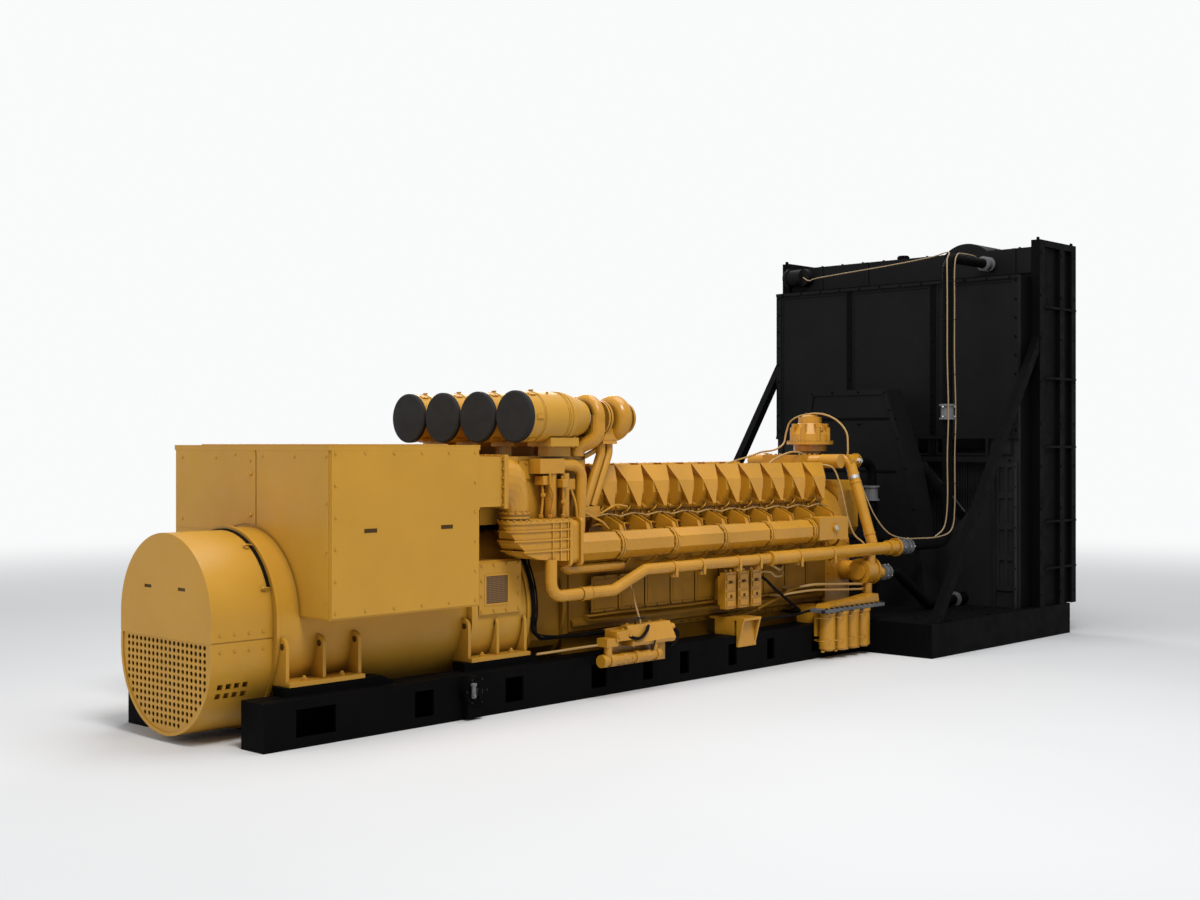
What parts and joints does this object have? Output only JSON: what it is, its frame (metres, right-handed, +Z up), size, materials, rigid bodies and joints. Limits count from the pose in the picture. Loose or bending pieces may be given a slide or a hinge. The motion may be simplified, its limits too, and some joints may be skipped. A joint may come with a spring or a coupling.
{
  "type": "standby generator set",
  "caption": "Diesel standby generator set: vee engine, alternator with terminal box and belt-fan radiator on one steel skid.",
  "frame": {"origin": "on the floor, under the middle of the set's bounding box", "axes": "+X along the crankshaft from the alternator's tail to the radiator, +Y across the set, +Z up"},
  "size_m": [9, 2.972, 3.755],
  "materials": {
    "yellow_paint": "satin machine paint",
    "black_paint": "satin black paint",
    "black_rubber": "matt rubber",
    "cap_plastic": "matt dark grey",
    "core_metal": "matt black finned core",
    "grey_rubber": "light grey silicone hose with clamps",
    "dark_paint": "satin dark grey paint"
  },
  "bodies": {
    "root": {"rail_near": "black_paint", "rail_far": "black_paint", "rail_crossmembers": "black_paint", "radiator_base": "black_paint", "alternator_barrel": "yellow_paint", "alternator_feet_near": "yellow_paint", "alternator_feet_far": "yellow_paint", "fan_hood": "yellow_paint", "intake_grille": "yellow_paint", "hood_seal": "black_rubber", "terminal_box": "yellow_paint", "box_panel_near": "yellow_paint", "box_panel_far": "yellow_paint", "box_doors": "yellow_paint", "coupling_housing": "yellow_paint", "flywheel_housing": "yellow_paint", "crankcase": "yellow_paint", "oil_pan": "yellow_paint", "cylinder_heads": "yellow_paint", "rocker_covers": "yellow_paint", "intake_plenum_near": "yellow_paint", "intake_plenum_far": "yellow_paint", "intake_elbow_near": "yellow_paint", "intake_elbow_far": "yellow_paint", "aftercooler": "yellow_paint", "aftercooler_pipes": "yellow_paint", "exhaust_manifold": "yellow_paint", "turbochargers": "yellow_paint", "exhaust_ducts": "yellow_paint", "intake_sleeves": "black_rubber", "air_cleaners": "yellow_paint", "air_cleaner_caps": "cap_plastic", "air_cleaner_frame": "yellow_paint", "water_pipe_near": "yellow_paint", "water_pipe_far": "yellow_paint", "gear_case": "yellow_paint", "crank_damper": "dark_paint", "breather": "yellow_paint", "front_pipes": "yellow_paint", "oil_filters": "yellow_paint", "fuel_filters": "yellow_paint", "priming_unit": "yellow_paint", "engine_brackets": "yellow_paint", "battery_isolator": "black_paint", "belt_guard": "black_paint", "fan": "dark_paint", "fan_ring": "black_paint", "shroud": "black_paint", "front_panels": "black_paint", "radiator_core": "core_metal", "side_frame_near": "black_paint", "side_frame_far": "black_paint", "top_tank": "black_paint", "bottom_tank": "black_paint", "brace_near": "black_paint", "brace_far": "black_paint", "riser_pipes": "black_paint", "hose_couplings": "grey_rubber", "harness_cable": "black_rubber"}
  },
  "joints": []
}
